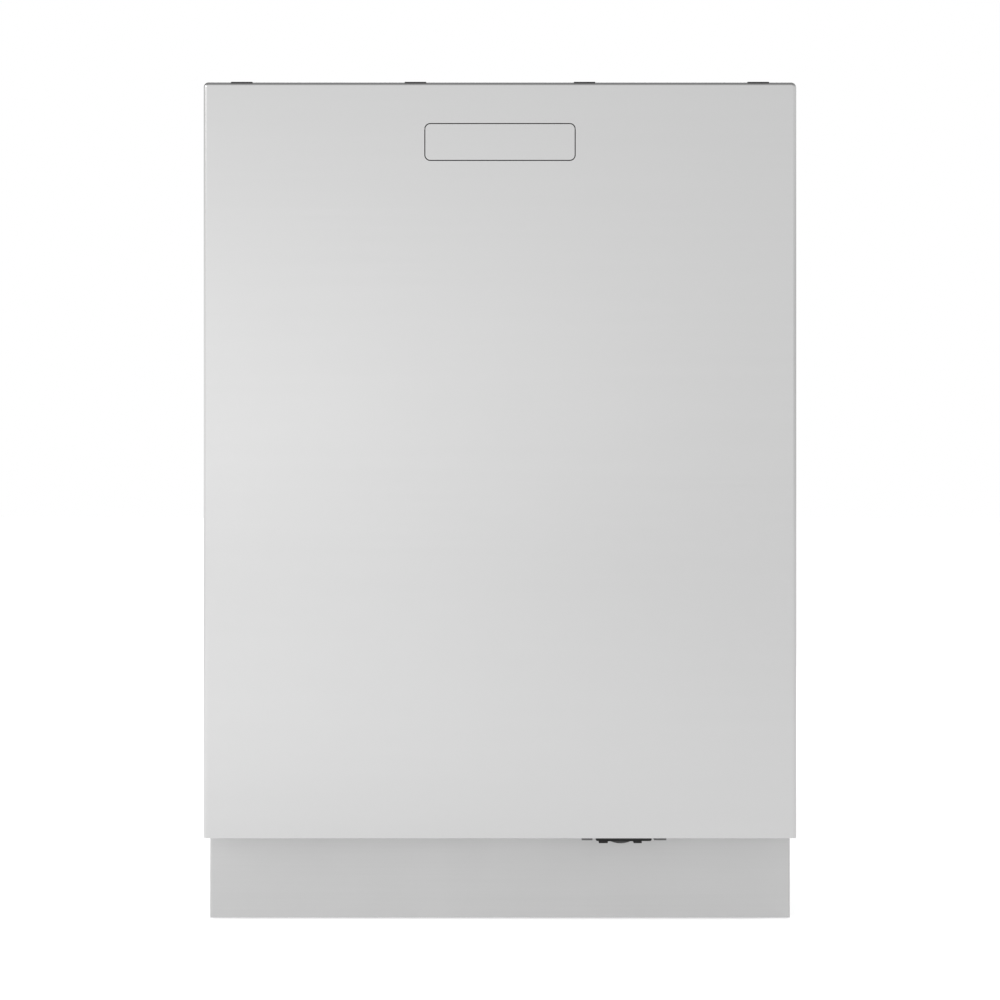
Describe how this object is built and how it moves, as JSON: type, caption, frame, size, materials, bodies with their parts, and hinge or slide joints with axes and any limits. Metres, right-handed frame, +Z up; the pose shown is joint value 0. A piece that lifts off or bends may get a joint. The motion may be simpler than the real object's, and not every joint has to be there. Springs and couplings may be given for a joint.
{
  "type": "built-in dishwasher",
  "caption": "Under-worktop dishwasher with a flush satin steel door, push-in handle flap, controls on the door's top edge, pull-out racks, turning spray arms and a recessed plinth.",
  "frame": {"origin": "on the floor, under the middle of the machine's bounding box", "axes": "+Z up, -Y towards the person in front of the door, +X to that person's right"},
  "size_m": [0.596, 0.575, 0.85],
  "materials": {
    "door_steel": "satin",
    "liner_steel": "satin",
    "tub_steel": "satin",
    "galvanised": "matte",
    "plinth_steel": "satin",
    "hinge_steel": "satin",
    "black_plastic": "satin",
    "window": "gloss",
    "button": "satin",
    "lamp_lens": "gloss",
    "dispenser_plastic": "satin",
    "lid_plastic": "satin",
    "cap_plastic": "satin",
    "rubber_seal": "matte",
    "bitumen": "matte",
    "fleece": "matte",
    "chamber_plastic": "satin",
    "base_plastic": "matte",
    "foot_plastic": "matte",
    "coated_wire": "satin",
    "rail_steel": "satin",
    "wheel_plastic": "satin",
    "arm_plastic": "satin",
    "duct_plastic": "satin",
    "shelf_plastic": "satin",
    "tray_plastic": "satin",
    "filter_steel": "satin",
    "filter_plastic": "satin",
    "salt_plastic": "satin",
    "pump_plastic": "satin",
    "valve_plastic": "satin",
    "screw_steel": "polished",
    "spring_steel": "satin"
  },
  "bodies": {
    "cabinet": {"tub_shell": "tub_steel", "tub_floor": "tub_steel", "front_frame": "tub_steel", "door_gasket": "rubber_seal", "side_frames": "galvanised", "top_cover": "galvanised", "insulation_mats": "bitumen", "water_chamber": "chamber_plastic", "door_catch": "black_plastic", "cabinet_screws": "screw_steel", "hinge_brackets": "hinge_steel", "rack_rails": "rail_steel", "feed_duct": "duct_plastic", "base_tray": "base_plastic", "door_springs": "spring_steel", "sump": "base_plastic", "fine_filter": "filter_steel", "salt_container": "salt_plastic", "circulation_pump": "pump_plastic", "drain_pump": "pump_plastic", "inlet_valve": "valve_plastic", "terminal_box": "base_plastic", "plinth": "plinth_steel"},
    "foot_front_left": {"foot_front_left": "foot_plastic"},
    "foot_front_right": {"foot_front_right": "foot_plastic"},
    "foot_rear_left": {"foot_rear_left": "foot_plastic"},
    "foot_rear_right": {"foot_rear_right": "foot_plastic"},
    "door": {"door_outer_panel": "door_steel", "door_liner": "liner_steel", "door_insulation": "fleece", "top_edge_clips": "black_plastic", "handle_pocket": "black_plastic", "hinge_arms": "hinge_steel", "door_strike": "hinge_steel", "dispenser_body": "dispenser_plastic", "control_strip": "black_plastic", "display_window": "window", "status_lamp_holder": "black_plastic", "status_lamp_lens": "lamp_lens", "status_lamp_clips": "rail_steel"},
    "flap": {"handle_flap": "door_steel"},
    "dispenser_lid": {"dispenser_lid": "lid_plastic"},
    "rinse_aid_cap": {"rinse_aid_cap": "cap_plastic"},
    "button_power": {"button_power": "button"},
    "button_program": {"button_program": "button"},
    "button_start": {"button_start": "button"},
    "coarse_filter": {"coarse_filter": "filter_plastic"},
    "salt_cap": {"salt_cap": "arm_plastic"},
    "lower_spray_arm": {"lower_spray_arm": "arm_plastic"},
    "top_spray_arm": {"top_spray_arm": "arm_plastic"},
    "upper_rails": {"upper_rail_members": "rail_steel"},
    "upper_rack": {"upper_rack_basket": "coated_wire", "upper_rack_feed_tube": "duct_plastic"},
    "cup_shelf": {"upper_rack_cup_shelf": "shelf_plastic"},
    "upper_spray_arm": {"upper_spray_arm": "arm_plastic"},
    "lower_rack": {"lower_rack_basket": "coated_wire"},
    "fold_tines": {"lower_rack_fold_tines": "coated_wire"},
    "lower_front_wheels": {"lower_rack_front_wheels": "wheel_plastic"},
    "lower_rear_wheels": {"lower_rack_rear_wheels": "wheel_plastic"},
    "cutlery_tray": {"cutlery_tray": "tray_plastic"}
  },
  "joints": [
    {"name": "door_hinge", "type": "hinge", "parent": "cabinet", "child": "door", "pos_m": [0, -0.262, 0.118], "axis": [1, 0, 0], "range_deg": [0, 90], "stiffness_Nm_per_rad": 25},
    {"name": "upper_rail_slide", "type": "slide", "parent": "cabinet", "child": "upper_rails", "axis": [0, -1, 0], "range_m": [0, 0.225]},
    {"name": "upper_rack_slide", "type": "slide", "parent": "upper_rails", "child": "upper_rack", "axis": [0, -1, 0], "range_m": [0, 0.225]},
    {"name": "cutlery_tray_slide", "type": "slide", "parent": "cabinet", "child": "cutlery_tray", "axis": [0, -1, 0], "range_m": [0, 0.36]},
    {"name": "lower_rack_slide", "type": "slide", "parent": "cabinet", "child": "lower_rack", "axis": [0, -1, 0], "range_m": [0, 0.2]},
    {"name": "lower_front_wheels_roll", "type": "hinge", "parent": "lower_rack", "child": "lower_front_wheels", "pos_m": [0, -0.065, 0.1845], "axis": [1, 0, 0], "range_deg": [0, 604]},
    {"name": "lower_rear_wheels_roll", "type": "hinge", "parent": "lower_rack", "child": "lower_rear_wheels", "pos_m": [0, 0.15, 0.1845], "axis": [1, 0, 0], "range_deg": [0, 604]},
    {"name": "fold_tines_hinge", "type": "hinge", "parent": "lower_rack", "child": "fold_tines", "pos_m": [-0.12, 0, 0.2325], "axis": [0, -1, 0], "range_deg": [0, 85]},
    {"name": "cup_shelf_hinge", "type": "hinge", "parent": "upper_rack", "child": "cup_shelf", "pos_m": [-0.236, 0, 0.5495], "axis": [0, -1, 0], "range_deg": [0, 85]},
    {"name": "lower_arm_spin", "type": "hinge", "parent": "cabinet", "child": "lower_spray_arm", "pos_m": [0, 0.01, 0.195], "axis": [0, 0, 1], "continuous": true},
    {"name": "upper_arm_spin", "type": "hinge", "parent": "upper_rack", "child": "upper_spray_arm", "pos_m": [0, 0.01, 0.426], "axis": [0, 0, 1], "continuous": true},
    {"name": "top_arm_spin", "type": "hinge", "parent": "cabinet", "child": "top_spray_arm", "pos_m": [0, 0.01, 0.797], "axis": [0, 0, 1], "continuous": true},
    {"name": "coarse_filter_twist", "type": "hinge", "parent": "cabinet", "child": "coarse_filter", "pos_m": [0.06, -0.058, 0.14], "axis": [0, 0, 1], "range_deg": [0, 90]},
    {"name": "salt_cap_turn", "type": "hinge", "parent": "cabinet", "child": "salt_cap", "pos_m": [-0.195, 0.19, 0.16], "axis": [0, 0, 1], "range_deg": [0, 360]},
    {"name": "flap_hinge", "type": "hinge", "parent": "door", "child": "flap", "pos_m": [0, -0.2815, 0.8039], "axis": [1, 0, 0], "range_deg": [0, 50], "stiffness_Nm_per_rad": 0.25},
    {"name": "dispenser_lid_slide", "type": "slide", "parent": "door", "child": "dispenser_lid", "axis": [1, 0, 0], "range_m": [0, 0.06]},
    {"name": "rinse_aid_cap_turn", "type": "hinge", "parent": "door", "child": "rinse_aid_cap", "pos_m": [0.07, -0.222, 0.505], "axis": [0, 1, 0], "range_deg": [0, 90]},
    {"name": "button_power_press", "type": "slide", "parent": "door", "child": "button_power", "axis": [0, 0, -1], "range_m": [0, 0.0012], "stiffness_N_per_m": 500},
    {"name": "button_program_press", "type": "slide", "parent": "door", "child": "button_program", "axis": [0, 0, -1], "range_m": [0, 0.0012], "stiffness_N_per_m": 500},
    {"name": "button_start_press", "type": "slide", "parent": "door", "child": "button_start", "axis": [0, 0, -1], "range_m": [0, 0.0012], "stiffness_N_per_m": 500},
    {"name": "foot_front_left_height", "type": "slide", "parent": "cabinet", "child": "foot_front_left", "axis": [0, 0, -1], "range_m": [0, 0.025]},
    {"name": "foot_front_right_height", "type": "slide", "parent": "cabinet", "child": "foot_front_right", "axis": [0, 0, -1], "range_m": [0, 0.025]},
    {"name": "foot_rear_left_height", "type": "slide", "parent": "cabinet", "child": "foot_rear_left", "axis": [0, 0, -1], "range_m": [0, 0.025]},
    {"name": "foot_rear_right_height", "type": "slide", "parent": "cabinet", "child": "foot_rear_right", "axis": [0, 0, -1], "range_m": [0, 0.025]}
  ],
  "couplings": [
    {"joint": "upper_rail_slide", "follows": "door_hinge", "m_per_rad": 0.1432},
    {"joint": "upper_rack_slide", "follows": "door_hinge", "m_per_rad": 0.1432},
    {"joint": "cutlery_tray_slide", "follows": "door_hinge", "m_per_rad": 0.229},
    {"joint": "lower_rack_slide", "follows": "door_hinge", "m_per_rad": 0.1273},
    {"joint": "lower_front_wheels_roll", "follows": "door_hinge", "ratio": 6.7},
    {"joint": "lower_rear_wheels_roll", "follows": "door_hinge", "ratio": 6.7}
  ]
}
